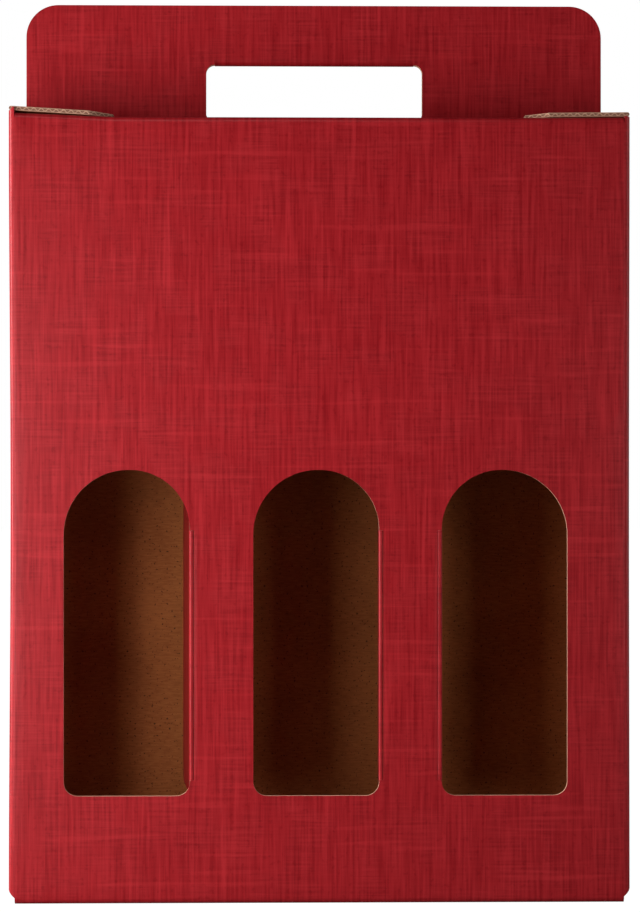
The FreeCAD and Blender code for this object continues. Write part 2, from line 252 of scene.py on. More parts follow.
def fold_path(corners, quarter, straight_points):
    """A section of folded board along its printed face: straight runs joined by quarter bends.
    corners are (a, b, radius). Returns places, the way in (the run turned by quarter, +1 or -1),
    and the developed length, which is the runs plus radius times turn."""
    places = np.array([corner[:2] for corner in corners])
    radii = np.array([corner[2] for corner in corners])
    ways = np.diff(places, axis=0)
    lengths = np.linalg.norm(ways, axis=1)
    ways /= lengths[:, None]
    spots, tangents, developed = [], [], []
    distance = 0.0
    for k, way in enumerate(ways):
        first = places[k] + radii[k] * way
        run = lengths[k] - radii[k] - radii[k + 1]
        if run > 1e-7:
            t = np.linspace(0, run, straight_points[k], endpoint=False)
            spots.append(first + t[:, None] * way)
            tangents.append(np.repeat(way[None], len(t), axis=0))
            developed.append(distance + t)
        distance += run
        if radii[k + 1] > 0:
            out = ways[k + 1]
            angles = (0, math.pi / 2)
            spots.append(bend(places[k + 1], way, out, radii[k + 1], angles, BEND_POINTS))
            turn = np.linspace(0, math.pi / 2, BEND_POINTS, endpoint=False)
            tangents.append(way * np.cos(turn)[:, None] + out * np.sin(turn)[:, None])
            developed.append(distance + radii[k + 1] * turn)
            distance += radii[k + 1] * math.pi / 2
    spots.append(places[-1:])
    tangents.append(ways[-1:])
    developed.append(np.array([distance]))
    tangents = np.concatenate(tangents)
    inward = quarter * np.stack([-tangents[:, 1], tangents[:, 0]], axis=1)
    return np.concatenate(spots), inward, np.concatenate(developed)


def across_x(pairs, x):
    """Points of a section in Y and Z, carried along X. pairs (rows, 2), x (rows, columns)."""
    rows, columns = x.shape
    y = np.broadcast_to(pairs[:, :1], (rows, columns))
    z = np.broadcast_to(pairs[:, 1:], (rows, columns))
    return np.stack([x, y, z], axis=2)


def across_y(pairs, y):
    """Points of a section in X and Z, carried along Y."""
    rows, columns = y.shape
    x = np.broadcast_to(pairs[:, :1], (rows, columns))
    z = np.broadcast_to(pairs[:, 1:], (rows, columns))
    return np.stack([x, y, z], axis=2)


def upright(flat, y):
    """Points given as X and Z, stood up in a plane of one Y."""
    return np.stack([flat[..., 0], np.full(flat.shape[:-1], y), flat[..., 1]], axis=-1)


def facing(way, shape):
    """The same direction at every point of a grid."""
    return np.broadcast_to(np.array(way, dtype=float), tuple(shape) + (3,))


# Front panel: a cell round each window, plain board under and over the cells. The counts are of
# stretches along a cell's sides, and of rows over each height
CELL_LOW = 22 * MM
CELL_HIGH = 205 * MM
CELL_SIDE_X = 40
CELL_SIDE_Z = 44
CREASE_SIDE_COUNTS = (9, 1, 14, 1, 19)  # CELL_SIDE_Z in all

# The plainer loop round a window: how far out it is, how far its points are spread at the ends
# of the crease, and by which shares of the distance its corners grow and its arch doesn't
WINDOW_MARGIN = 4 * MM
MARGIN_SPREAD = 0.4 * MM
MARGIN_CORNER_SHARE = 0.9
MARGIN_ARCH_LOSS = 0.2
MARGIN_RINGS = 9
CELL_RINGS = 4
FRONT_EDGE = HALF_WIDTH - FOLD
CELL_EDGES = (
    -FRONT_EDGE,
    (WINDOW_CENTRES["left"] + WINDOW_CENTRES["middle"]) / 2,
    (WINDOW_CENTRES["middle"] + WINDOW_CENTRES["right"]) / 2,
    FRONT_EDGE,
)
LOW_ROWS = 4
HIGH_ROWS = 14


def front_columns():
    """The X of the front panel's columns, evenly spread over each cell."""
    spans = []
    for start, stop in zip(CELL_EDGES, CELL_EDGES[1:]):
        spans.append(np.linspace(start, stop, CELL_SIDE_X, endpoint=False))
    return np.concatenate(spans + [np.array([FRONT_EDGE])])


def window_loop(name, beyond=0.0):
    """The window's outline with room for the lip, or a plainer loop some way beyond it, and
    which of its points are on the crease. Over and under the crease the edge stands further in
    than the crease does, and it steps back at the ends of the flap's root. The plainer loop has
    no step, only a spread of its points there, and somewhat tighter corners."""
    centre = WINDOW_CENTRES[name]
    side = CREASE_SIDE[name]
    step, spread = (0, MARGIN_SPREAD) if beyond else (EDGE_STEP, 0)
    low = WINDOW_LOW - LIP - beyond
    high = WINDOW_LOW + WINDOW_HEIGHT + LIP + beyond
    half = WINDOW_WIDTH / 2 + LIP + beyond
    crease = half if beyond else half - LIP - CREASE_GAP + SEEN_GAP
    arch = ARCH + LIP + beyond
    corner = WINDOW_CORNER + LIP + beyond * MARGIN_CORNER_SHARE
    root_low = WINDOW_LOW + FLAP_ROOT_LOW - SEEN_GAP
    root_high = WINDOW_LOW + FLAP_ROOT_HIGH + SEEN_GAP
    corners = [
        (-half, low, corner),
        (half - step, low, corner),
        (half - step, root_low - spread, 0),
        (crease, root_low + spread, 0),
        (crease, root_high - spread, 0),
        (half - step, root_high + spread, 0),
        (half - step, high, arch - EDGE_STEP - beyond * MARGIN_ARCH_LOSS),
        (-half, high, arch),
    ]
    counts = [CELL_SIDE_X, *CREASE_SIDE_COUNTS, CELL_SIDE_X, CELL_SIDE_Z]
    if side < 0:
        corners = [corners[1], corners[0]] + corners[:1:-1]
        counts = [counts[0]] + counts[:0:-1]
    loop = outline([(centre + side * x, z, radius) for x, z, radius in corners], counts)
    return loop, np.abs(loop[:, 0] - centre - side * crease) < SLIVER


def add_front_panel(blank):
    """The front panel: a cell round each window, with a plain strip under and over the cells.
    At a crease the board's edge leans away from the flap, which needs room to fold further."""
    counts = (CELL_SIDE_X, CELL_SIDE_Z, CELL_SIDE_X, CELL_SIDE_Z)
    for k, name in enumerate(WINDOW_CENTRES):
        hole, creased = window_loop(name)
        cell = outline(rectangle(CELL_EDGES[k], CELL_EDGES[k + 1], CELL_LOW, CELL_HIGH), counts)
        beyond = window_loop(name, WINDOW_MARGIN)[0]
        flat = np.concatenate([
            ring(hole, beyond, MARGIN_RINGS),
            ring(beyond, cell, CELL_RINGS)[1:],
        ])
        way = facing((0, 1, 0), flat.shape[:2]).copy()
        leaning = creased[np.arange(flat.shape[1]) % len(hole)]
        way[0, leaning, 0] = CREASE_SIDE[name] * (CREASE_GAP - SEEN_GAP) / BOARD
        blank.board(upright(flat, -HALF_DEPTH), way, flat)
        edge = upright(hole, -HALF_DEPTH)
        edge_way = way[0, :len(hole)]
        finish = np.where(creased & np.roll(creased, -1), PRINT, CUT)
        lip = np.where(creased, 0, LIP)
        blank.rim(edge, edge_way, hole[:, 1], side=-1, closed=True, finish=finish, lip=lip)
    for z0, z1, rows in ((FOLD, CELL_LOW, LOW_ROWS), (CELL_HIGH, WALL_TOP, HIGH_ROWS)):
        x, z = np.meshgrid(front_columns(), np.linspace(z0, z1, rows + 1))
        flat = np.stack([x, z], axis=2)
        blank.board(upright(flat, -HALF_DEPTH), facing((0, 1, 0), flat.shape[:2]), flat)


# From one bottom panel to the next, and the heights at which each wall's bottom panel starts to
# turn in and at which each side wall ends
LAYER = BOARD + SHEET_GAP
FRONT_FOOT = FOLD
BACK_FOOT = LAYER + FOLD
SIDE_FOOT = 2 * LAYER + FOLD
SIDE_TOPS = {
    side: JOINTS[side + "_top_flap_crease"]["pos_m"][2] - BOARD / 2 - CREASE_GAP
    for side in ("left", "right")
}

# How many stretches each straight run of wall, and each bottom panel, is divided into
STUB_POINTS = 2
SIDE_POINTS = 12
BACK_POINTS = 80
GLUE_POINTS = 8
PANEL_POINTS = 12
SIDE_BOTTOM_POINTS = 8

# The share of a corner's arc over which the higher wall keeps its top
TOP_KEPT = 0.9


def add_wall_strip(blank, columns):
    """A stretch of wall: its plan is a line of places with the way in, and each place has its
    own foot and top, between which the rows are spread as they are on the front panel."""
    plan, inward, foot, top, along = columns
    low = np.linspace(0, 1, LOW_ROWS, endpoint=False)[:, None]
    mid = np.linspace(0, 1, CELL_SIDE_Z + 1)[:, None]
    high = np.linspace(0, 1, HIGH_ROWS + 1)[1:, None]
    z = np.concatenate([
        foot * (1 - low) + CELL_LOW * low,
        CELL_LOW * (1 - mid) + CELL_HIGH * mid + 0 * foot,
        CELL_HIGH * (1 - high) + top * high,
    ])
    x = np.broadcast_to(plan[:, 0], z.shape)
    y = np.broadcast_to(plan[:, 1], z.shape)
    outer = np.stack([x, y, z], axis=2)
    way = np.stack([inward[:, 0] + 0 * z, inward[:, 1] + 0 * z, 0 * z], axis=2)
    coords = np.stack([np.broadcast_to(along, z.shape), z], axis=2)
    blank.board(outer, way, coords)
    return outer, way


def wall_columns(corners, quarter, straight_points, heights, start):
    """Plan, way in, foot, top and place along the sheet for a stretch of wall. heights lists
    (foot, top) for each straight run. In a corner the foot changes evenly from one to the next,
    and the top keeps the higher of them almost to the corner's end."""
    plan, inward, developed = fold_path(corners, quarter, straight_points)
    marks, feet, tops = [], [], []
    distance = 0.0
    places = np.array([corner[:2] for corner in corners])
    radii = [corner[2] for corner in corners]
    lengths = np.linalg.norm(np.diff(places, axis=0), axis=1)
    for k, length in enumerate(lengths):
        run = length - radii[k] - radii[k + 1]
        marks += [distance, distance + run]
        feet += [heights[k][0]] * 2
        tops += [heights[k][1]] * 2
        distance += run + radii[k + 1] * math.pi / 2
    foot = np.interp(developed, marks, feet)
    shift = TOP_KEPT * FOLD * math.pi / 2
    top = np.max([np.interp(developed + way, marks, tops) for way in (-shift, 0, shift)], axis=0)
    top[[0, -1]] = tops[0], tops[-1]
    return plan, inward, foot, top, start + developed


def add_walls(blank):
    """Two strips: from the seam along the right side to the front, and from the front along the
    left side and the back to the glue flap, which lies inside the seam."""
    hw, hd = HALF_WIDTH, HALF_DEPTH
    seam = hd - FOLD - GLUE_SETBACK
    front = (FRONT_FOOT, WALL_TOP)
    right = [(hw, seam, 0), (hw, -hd, FOLD), (FRONT_EDGE, -hd, 0)]
    heights = ((SIDE_FOOT, SIDE_TOPS["right"]), front)
    columns = wall_columns(right, -1, (SIDE_POINTS, STUB_POINTS), heights, HALF_WIDTH)
    outer, way = add_wall_strip(blank, columns)
    side = len(outer[0]) - 1 - BEND_POINTS
    blank.rim(outer[:, 0], way[:, 0], outer[:, 0, 2], side=1)
    blank.rim(outer[-1, :side + 1], way[-1, :side + 1], outer[-1, :side + 1, 2], side=1)
    blank.rim(outer[-1, side:], way[-1, side:], outer[-1, side:, 2], side=1, finish=PRINT)
    blank.rim(outer[0, side:], way[0, side:], outer[0, side:, 2], side=-1, finish=PRINT)
    add_side_bottom(blank, 1, outer[0, :side + 1, 1])

    inside = hw - LAYER
    glue_end = hd - BOARD - GLUE_FLAP
    left = [
        (-FRONT_EDGE, -hd, 0),
        (-hw, -hd, FOLD),
        (-hw, hd, FOLD),
        (inside, hd, FOLD),
        (inside, glue_end, 0),
    ]
    back = (BACK_FOOT, WALL_TOP)
    glue = (SIDE_FOOT + FOLD, WALL_TOP - FOLD)
    heights = (front, (SIDE_FOOT, SIDE_TOPS["left"]), back, glue)
    points = (STUB_POINTS, SIDE_POINTS, BACK_POINTS, GLUE_POINTS)
    columns = wall_columns(left, -1, points, heights, -HALF_WIDTH)
    outer, way = add_wall_strip(blank, columns)
    first = BEND_POINTS
    second = first + SIDE_POINTS
    third = second + BEND_POINTS
    fourth = third + BACK_POINTS
    for start, stop, finish in ((0, first, PRINT), (first, second, CUT), (second, third, PRINT)):
        part = slice(start, stop + 1)
        blank.rim(outer[-1, part], way[-1, part], outer[-1, part, 2], side=1, finish=finish)
        if finish == PRINT:
            blank.rim(outer[0, part], way[0, part], outer[0, part, 2], side=-1, finish=finish)
    end = np.concatenate([outer[0, fourth:], outer[1:, -1], outer[-1, fourth:-1][::-1]])
    end_way = np.concatenate([way[0, fourth:], way[1:, -1], way[-1, fourth:-1][::-1]])
    blank.rim(end, end_way, end[:, 2], side=-1)
    add_side_bottom(blank, -1, outer[0, first:second + 1, 1])
    back_x = outer[0, third:fourth + 1, 0]
    add_back_bottom(blank, back_x)
    add_top(blank, 1, back_x)


def add_front_bottom(blank):
    x = front_columns()
    hd = HALF_DEPTH
    corners = [(-hd, FRONT_FOOT, 0), (-hd, 0, FOLD), (hd - BOTTOM_EDGE_GAP - LIP, 0, 0)]
    add_panel_x(blank, corners, 1, (1, PANEL_POINTS), x, x, -1)


def add_back_bottom(blank, x):
    hd = HALF_DEPTH
    end = -hd + BOARD + BOTTOM_EDGE_GAP + LIP
    corners = [(hd, BACK_FOOT, 0), (hd, LAYER, FOLD), (end, LAYER, 0)]
    add_panel_x(blank, corners, -1, (1, PANEL_POINTS), x, x, -1)


def add_side_bottom(blank, side, y):
    hw = HALF_WIDTH
    end = side * (hw - SIDE_BOTTOM + LIP)
    corners = [(side * hw, SIDE_FOOT, 0), (side * hw, 2 * LAYER, FOLD), (end, 2 * LAYER, 0)]
    pairs, inward, developed = fold_path(corners, -side, (1, SIDE_BOTTOM_POINTS))
    grid = across_y(pairs, np.broadcast_to(y, (len(pairs), len(y))))
    way = np.stack([inward[:, 0], 0 * developed, inward[:, 1]], axis=1)
    way = np.repeat(way[:, None, :], len(y), axis=1)
    height = np.broadcast_to(SIDE_FOOT - developed[:, None], grid.shape[:2])
    coords = np.stack([grid[..., 1], height], axis=2)
    blank.board(grid, way, coords)
    add_free_edge(blank, grid, way, coords, 1 if (y[-1] - y[0]) * side > 0 else -1)


def add_panel_x(blank, corners, quarter, points, x_start, x_end, developed_sign, free_end=True):
    """A panel that turns in from the front or back wall: its section carried along X. The
    columns slide from their places on the wall to those at the panel's far end. With no free
    end it has a rim along its two sides only."""
    pairs, inward, developed = fold_path(corners, quarter, points)
    share = (developed / developed[-1])[:, None]
    grid = across_x(pairs, x_start * (1 - share) + x_end * share)
    way = np.stack([0 * developed, inward[:, 0], inward[:, 1]], axis=1)
    way = np.repeat(way[:, None, :], len(x_start), axis=1)
    height = corners[0][1] + developed_sign * developed
    height = np.broadcast_to(height[:, None], grid.shape[:2])
    coords = np.stack([grid[..., 0], height], axis=2)
    blank.board(grid, way, coords)
    turn = quarter if x_start[-1] > x_start[0] else -quarter
    if free_end:
        add_free_edge(blank, grid, way, coords, turn)
    else:
        for column, sign in ((0, turn), (-1, -turn)):
            blank.rim(grid[:, column], way[:, column], coords[:, column, 1], side=sign)
    return grid, way


def add_free_edge(blank, grid, way, coords, sign):
    """The rim down one side of a panel, along its free end and back up the other side."""
    parts = []
    for values in (grid, way, coords[..., 1:]):
        parts.append(np.concatenate([values[:, 0], values[-1, 1:], values[:-1, -1][::-1]]))
    blank.rim(parts[0], parts[1], parts[2][:, 0], side=sign)


# Points up each side of the handle, on the parts of the hand hole's top beside the hand flap,
# across the hand flap and along it
HANDLE_SIDE_POINTS = 30
HOLE_SHOULDER_POINTS = 9
HANDLE_RINGS = 8
HAND_FLAP_POINTS = 30
HAND_FLAP_ROWS = (2, 2, 8)

# How far the hand flap stands proud of the front layer, and how far over its fold it starts
PROUD = 0.02 * MM
HAND_FLAP_OVERLAP = 1.2 * MM


def add_top(blank, side, x):
    """One top panel and its layer of the handle. The layer is the ring between the hand hole
    and its own outline, whose lowest side is the end of the top panel. Over the hole the board
    starts higher where the hand flap leaves it."""
    hd = HALF_DEPTH
    foot = TOP + FOLD
    left = HANDLE_SHIFT - (HALF_WIDTH - HANDLE_INSET) + LIP
    right = HANDLE_SHIFT + (HALF_WIDTH - HANDLE_INSET) - LIP
    count = len(x)
    x_end = np.linspace(left, right, count)
    corners = [
        (side * hd, WALL_TOP, 0),
        (side * hd, TOP, FOLD),
        (side * HANDLE_FRONT, TOP, INNER_FOLD),
        (side * HANDLE_FRONT, foot, 0),
    ]
    points = (1, PANEL_POINTS, STUB_POINTS)
    add_panel_x(blank, corners, side, points, x, x_end, 1, free_end=False)
    counts = (count - 1, HANDLE_SIDE_POINTS, count - 1, HANDLE_SIDE_POINTS)
    edge_corners = [
        (left, foot, 0),
        (right, foot, 0),
        (right, HANDLE_TOP - LIP, HANDLE_CORNER - LIP),
        (left, HANDLE_TOP - LIP, HANDLE_CORNER - LIP),
    ]
    hole_left, hole_right = HANDLE_SHIFT - HOLE_HALF - LIP, HANDLE_SHIFT + HOLE_HALF + LIP
    flap_left = HANDLE_SHIFT - HAND_FLAP_HALF + LIP
    flap_right = HANDLE_SHIFT + HAND_FLAP_HALF - LIP
    high = HOLE_TOP + LIP
    top_corner = flap_left - hole_left - SHEET_GAP
    hole_corners = [
        (hole_left, HOLE_LOW - LIP, HOLE_CORNER + LIP),
        (hole_right, HOLE_LOW - LIP, HOLE_CORNER + LIP),
        (hole_right, high, top_corner),
        (flap_right, high, 0),
        (flap_right, high + FOLD, 0),
        (flap_left, high + FOLD, 0),
        (flap_left, high, 0),
        (hole_left, high, top_corner),
    ]
    shoulder = HOLE_SHOULDER_POINTS
    flap_points = count - 1 - 2 * (shoulder + 1)
    top_counts = (shoulder, 1, flap_points, 1, shoulder)
    hole_counts = (count - 1, HANDLE_SIDE_POINTS) + top_counts + (HANDLE_SIDE_POINTS,)
    hole = outline(hole_corners, hole_counts)
    edge = outline(edge_corners, counts)
    flat = ring(hole, edge, HANDLE_RINGS)
    y = side * HANDLE_FRONT
    way = (0, -side, 0)
    blank.board(upright(flat, y), facing(way, flat.shape[:2]), flat)
    blank.rim(upright(hole, y), facing(way, (len(hole),)), hole[:, 1], side=side, closed=True)
    free = np.concatenate([edge[count - 1:], edge[:1]])
    blank.rim(upright(free, y), facing(way, (len(free),)), free[:, 1], side=-side)


def add_hand_flap(blank):
    """The flap that leaves the front layer over the hole, turns under the back layer and lies
    up its far side: a section in Y and Z carried along X. It starts a little way up the front
    layer, and proud of it, so that the two printed faces don't coincide."""
    start = HOLE_TOP + FOLD + HAND_FLAP_OVERLAP
    rear = HANDLE_FRONT + LAYER_GAP + BOARD
    corners = [
        (-HANDLE_FRONT - PROUD, start, 0),
        (-HANDLE_FRONT - PROUD, HOLE_TOP, FOLD),
        (rear, HOLE_TOP, FOLD),
        (rear, HAND_FLAP_END - LIP, 0),
    ]
    half = HAND_FLAP_HALF - LIP
    x = np.linspace(HANDLE_SHIFT - half, HANDLE_SHIFT + half, HAND_FLAP_POINTS)
    grid, way = add_panel_x(blank, corners, 1, HAND_FLAP_ROWS, x, x, -1)
    blank.rim(grid[0], way[0], grid[0, :, 2], side=-1)


def ease(value, low, high):
    """0 below low, 1 above high, and three squares less two cubes of the share between them."""
    t = np.clip((value - low) / (high - low), 0, 1)
    return t * t * (3 - 2 * t)


# How far each side leans in at mid height, and over which distances from the middle it fades in
LEFT_LEAN = 0.75 * MM
RIGHT_LEAN = 0.25 * MM
LEAN_START, LEAN_FULL = 108 * MM, 126 * MM

# The top panels' ends rise by a share of the room under the flap beyond the least gap
LIFT_SHARE = 0.7
LIFT_GAP = 0.3 * MM
LIFT_HEIGHTS = (TOP - 22 * MM, TOP - 2 * MM)
LIFT_DEPTHS = (12 * MM, 34 * MM)

# How far the front panel rolls in at a window's crease, over which width, and how far past each
# end of the flap's root the roll fades out, from a little inside it
ROLL = 0.15 * MM
ROLL_WIDTH = 1.5 * MM
ROLL_INSIDE = 1 * MM
ROLL_FADE = 3 * MM


def settled(points):
    """How the folded board settles. The side panels lean in at mid height, by the square of a
    sine of the height. The top panels rise at their ends to just under the flaps that lie on
    them. The front panel rolls in towards each crease over its last millimetre and a half."""
    x, y, z = points.T
    moved = points.copy()
    lean = np.where(x < 0, LEFT_LEAN, RIGHT_LEAN) * np.sin(np.pi * np.clip(z / TOP, 0, 1)) ** 2
    moved[:, 0] -= np.sign(x) * ease(np.abs(x), LEAN_START, LEAN_FULL) * lean
    for sign, side in ((-1, "left"), (1, "right")):
        root = JOINTS[side + "_top_flap_crease"]["pos_m"]
        fall = (root[0] - x) * sign * math.tan(math.radians(DROOP[side]))
        space = root[2] - BOARD / 2 - fall - TOP
        lift = LIFT_SHARE * np.clip(space - LIFT_GAP, 0, None) * (x * sign > 0)
        lift *= 1 - ease(np.abs(x), HALF_WIDTH - FOLD, HALF_WIDTH)
        moved[:, 2] += lift * ease(z, *LIFT_HEIGHTS) * ease(np.abs(y), *LIFT_DEPTHS)
    for name, centre in WINDOW_CENTRES.items():
        beyond = (x - centre) * CREASE_SIDE[name] - (WINDOW_WIDTH / 2 - CREASE_GAP)
        near = (1 - ease(beyond, 0, ROLL_WIDTH)) * (beyond > 0) * (y < BOARD - HALF_DEPTH + LIP)
        low, high = WINDOW_LOW + FLAP_ROOT_LOW, WINDOW_LOW + FLAP_ROOT_HIGH
        near = near * ease(z, low - ROLL_FADE, low + ROLL_INSIDE)
        near = near * (1 - ease(z, high - ROLL_INSIDE, high + ROLL_FADE))
        moved[:, 1] += ROLL * near
    return moved


def make_carton(materials):
    blank = Blank()
    add_front_panel(blank)
    add_walls(blank)
    add_front_bottom(blank)
    add_top(blank, -1, front_columns())
    add_hand_flap(blank)
    return blank.finish("carton_board", materials, settled)


class Place:
    """Where a flap lies: the crease's start, the way along the flap, its width and out of its
    printed face."""

    def __init__(self, start, along, width, out):
        self.start = np.array(start, dtype=float)
        self.along = np.array(along, dtype=float)
        self.width = np.array(width, dtype=float)
        self.out = np.array(out, dtype=float)

    def put(self, x, w, h):
        x, w, h = np.broadcast_arrays(x, w, h)
        along = x[..., None] * self.along
        across = w[..., None] * self.width
        return self.start + along + across + h[..., None] * self.out


# Points round the half turn of a flap's root
ROOT_POINTS = 17


def add_flap(blank, place, xs, low, high, coords, steps, rims, squareness=1.0):
    """A flap's board between the curves low and high over xs. Its root is half a turn of
    radius half the board, from the kraft face round to the printed one. Squareness is the
    power of the kraft quarter's cosine and sine, which makes it squarer when it is under one.
    rims lists the cut edges, each with its x, its w and the side that it swells to."""
    half = BOARD / 2
    t = np.linspace(0, 1, steps + 1)
    w = low[:, None] * (1 - t) + high[:, None] * t
    turn = np.linspace(-math.pi / 2, math.pi / 2, ROOT_POINTS)[:, None]
    power = np.where(turn < 0, squareness, 1)
    root_x = -half * np.clip(np.cos(turn), 0, 1) ** power
    root_h = half * np.sign(turn) * np.abs(np.sin(turn)) ** power
    root_w = np.repeat(w[:1], len(turn) - 1, axis=0)
    x = np.concatenate([root_x[:-1] + 0 * root_w, xs[:, None] + 0 * w])
    h = np.concatenate([root_h[:-1] + 0 * root_w, half + 0 * w])
    all_w = np.concatenate([root_w, w])
    blank.patch(place.put(x, all_w, h), coords(x, all_w), PRINT)
    blank.patch(place.put(xs[:, None], w, -half), coords(xs[:, None] + 0 * w, w), KRAFT)
    disc_x = np.stack([root_x[:, 0], 0 * root_x[:, 0]])
    disc_h = np.stack([root_h[:, 0], root_h[:, 0]])
    for column in (0, -1):
        grid = place.put(disc_x, w[0, column], disc_h)
        blank.patch(grid, np.stack([disc_x, disc_h + half], axis=2), CUT)
    for line_x, line_w, side in rims:
        outer = place.put(line_x, line_w, half)
        developed = coords(line_x, line_w)[..., 1]
        blank.rim(outer, facing(-place.out, (len(outer),)), developed, side=side)


def cosine_steps(length, count):
    """Places from 0 to length, closer together near both ends: half of one less the cosine."""
    return length * (1 - np.cos(np.linspace(0, math.pi, count + 1))) / 2


# A window flap's stretches along and across, the points down its free end, the shape of its
# root and the width of the step from the root's height to the flap's
WINDOW_FLAP_POINTS = 56
WINDOW_FLAP_COLUMNS = 24
WINDOW_FLAP_END_POINTS = 11
WINDOW_FLAP_SQUARENESS = 0.6
STEP_WIDTH = 0.02 * MM


def make_window_flap(name, materials):
    """The window's cut-out, less the die gap: its lower and upper edges are a level line with a
    quarter circle at each end. Its root is narrower, up to the relief."""
    side = CREASE_SIDE[name]
    joint = JOINTS[name + "_window_flap_crease"]["pos_m"]
    angle = math.radians(180 - WINDOW_FOLDS[name] if side > 0 else WINDOW_FOLDS[name])
    along = (math.cos(angle), math.sin(angle), 0)
    out = (-side * math.sin(angle), side * math.cos(angle), 0)
    place = Place((joint[0], joint[1], WINDOW_LOW), along, (0, 0, 1), out)
    setback = BOARD / 2 + CREASE_GAP
    inset = DIE_GAP + LIP
    reach = WINDOW_WIDTH - setback - inset
    arch_root, arch_free = ARCH - setback - FLAP_RELIEF, ARCH - inset
    curve = FLAP_RELIEF + cosine_steps(reach - FLAP_RELIEF, WINDOW_FLAP_POINTS)
    from_root, from_end = curve - FLAP_RELIEF, reach - curve
    rise = corner_rise(from_root, WINDOW_CORNER) + corner_rise(from_end, WINDOW_CORNER - inset)
    fall = corner_rise(from_root, arch_root) + corner_rise(from_end, arch_free)
    low = inset + rise
    high = WINDOW_HEIGHT - inset - fall
    xs = np.concatenate([[0, FLAP_RELIEF - STEP_WIDTH], curve])
    low = np.concatenate([[FLAP_ROOT_LOW] * 2, low])
    high = np.concatenate([[FLAP_ROOT_HIGH] * 2, high])

    def coords(x, w):
        x, w = np.broadcast_arrays(x, w)
        return np.stack([joint[0] - side * x, WINDOW_LOW + w], axis=-1)

    end_w = np.linspace(low[-1], high[-1], WINDOW_FLAP_END_POINTS)[1:-1]
    line_x = np.concatenate([xs, np.full(len(end_w), reach), xs[::-1]])
    line_w = np.concatenate([low, end_w, high[::-1]])
    blank = Blank()
    rims = [(line_x, line_w, -side)]
    columns = WINDOW_FLAP_COLUMNS
    add_flap(blank, place, xs, low, high, coords, columns, rims, WINDOW_FLAP_SQUARENESS)
    return blank.finish(name + "_window_flap_board", materials)


def corner_rise(distance, radius):
    """How far a quarter circle has left its level side, at a distance from its upright one:
    radius less the root of radius squared less the rest of the radius squared."""
    short = np.clip(radius - distance, 0, radius)
    return radius - np.sqrt(radius * radius - short * short)


# Points along a top flap's neck, a tine, its bevel and its end, and stretches across each
NECK_POINTS = 4
TINE_POINTS = 24
BEVEL_POINTS = 8
TINE_END_POINTS = 5
TINE_COLUMNS = 10
NECK_COLUMNS = 4


def make_top_flap(name, materials):
    """A fork: two tines with a bevelled outer corner, joined by a neck at the crease."""
    side = -1 if name == "left" else 1
    joint = JOINTS[name + "_top_flap_crease"]["pos_m"]
    droop = math.radians(DROOP[name])
    along = (-side * math.cos(droop), 0, -math.sin(droop))
    out = (-side * math.sin(droop), 0, math.cos(droop))
    place = Place(joint, along, (0, 1, 0), out)
    neck = HANDLE_INSET - side * HANDLE_SHIFT - BOARD / 2 - SLOT_GAP - LIP
    cut = TOP_FLAP_REACH - TOP_FLAP_CHAMFER
    reach = TOP_FLAP_REACH - LIP
    inside = np.linspace(0, neck, NECK_POINTS)
    tine = np.linspace(neck, cut, TINE_POINTS)[1:]
    xs = np.concatenate([inside, tine, np.linspace(cut, reach, BEVEL_POINTS)[1:]])
    slot = SLOT_HALF + LIP
    bevel = np.clip(xs - cut, 0, None)
    back = TOP_FLAP_HALF - GLUE_SETBACK - LIP
    front = -TOP_FLAP_HALF + LIP
    k = len(inside) - 1

    def coords(x, w):
        x, w = np.broadcast_arrays(x, w)
        return np.stack([w, joint[2] + x], axis=-1)

    blank = Blank()
    front_low, back_high = front + bevel, back - bevel
    slot_line = np.full(len(xs), slot)
    end_x = np.full(TINE_END_POINTS, reach)
    front_end = np.linspace(front_low[-1], -slot, TINE_END_POINTS + 2)[1:-1]
    line_x = np.concatenate([xs, end_x, xs[k:][::-1]])
    line_w = np.concatenate([front_low, front_end, -slot_line[k:]])
    rims = [(line_x, line_w, side)]
    add_flap(blank, place, xs, front_low, -slot_line, coords, TINE_COLUMNS, rims)
    neck_w = np.linspace(-slot, slot, NECK_COLUMNS + 1)
    rims = [(np.full(len(neck_w), neck), neck_w, side)]
    slot_start = slot_line[:k + 1]
    add_flap(blank, place, inside, -slot_start, slot_start, coords, NECK_COLUMNS, rims)
    back_end = np.linspace(slot, back_high[-1], TINE_END_POINTS + 2)[1:-1]
    line_x = np.concatenate([xs[k:], end_x, xs[::-1]])
    line_w = np.concatenate([slot_line[k:], back_end, back_high[::-1]])
    rims = [(line_x, line_w, side)]
    add_flap(blank, place, xs, slot_line, back_high, coords, TINE_COLUMNS, rims)
    return blank.finish(name + "_top_flap_board", materials)


class Number:
    """A value that changes over a surface, with the operators that its formula uses."""

    def __init__(self, finish, socket):
        self.finish, self.socket = finish, socket

    def math(self, operation, *others):
        values = {i: value for i, value in enumerate((self,) + others)}
        return self.finish.number("ShaderNodeMath", {"operation": operation}, values)

    def __add__(self, other):
        return self.math("ADD", other)

    def __radd__(self, other):
        return self.math("ADD", other)

    def __sub__(self, other):
        return self.math("SUBTRACT", other)

    def __rsub__(self, other):
        return self.math("MULTIPLY_ADD", -1.0, other)

    def __mul__(self, other):
        return self.math("MULTIPLY", other)

    def __rmul__(self, other):
        return self.math("MULTIPLY", other)

    def __abs__(self):
        return self.math("ABSOLUTE")

    def between(self, low, high):
        """0 below low, 1 above high, and a smooth step between them."""
        settings = {"interpolation_type": "SMOOTHSTEP"}
        values = {"Value": self, "From Min": low, "From Max": high}
        return self.finish.number("ShaderNodeMapRange", settings, values)


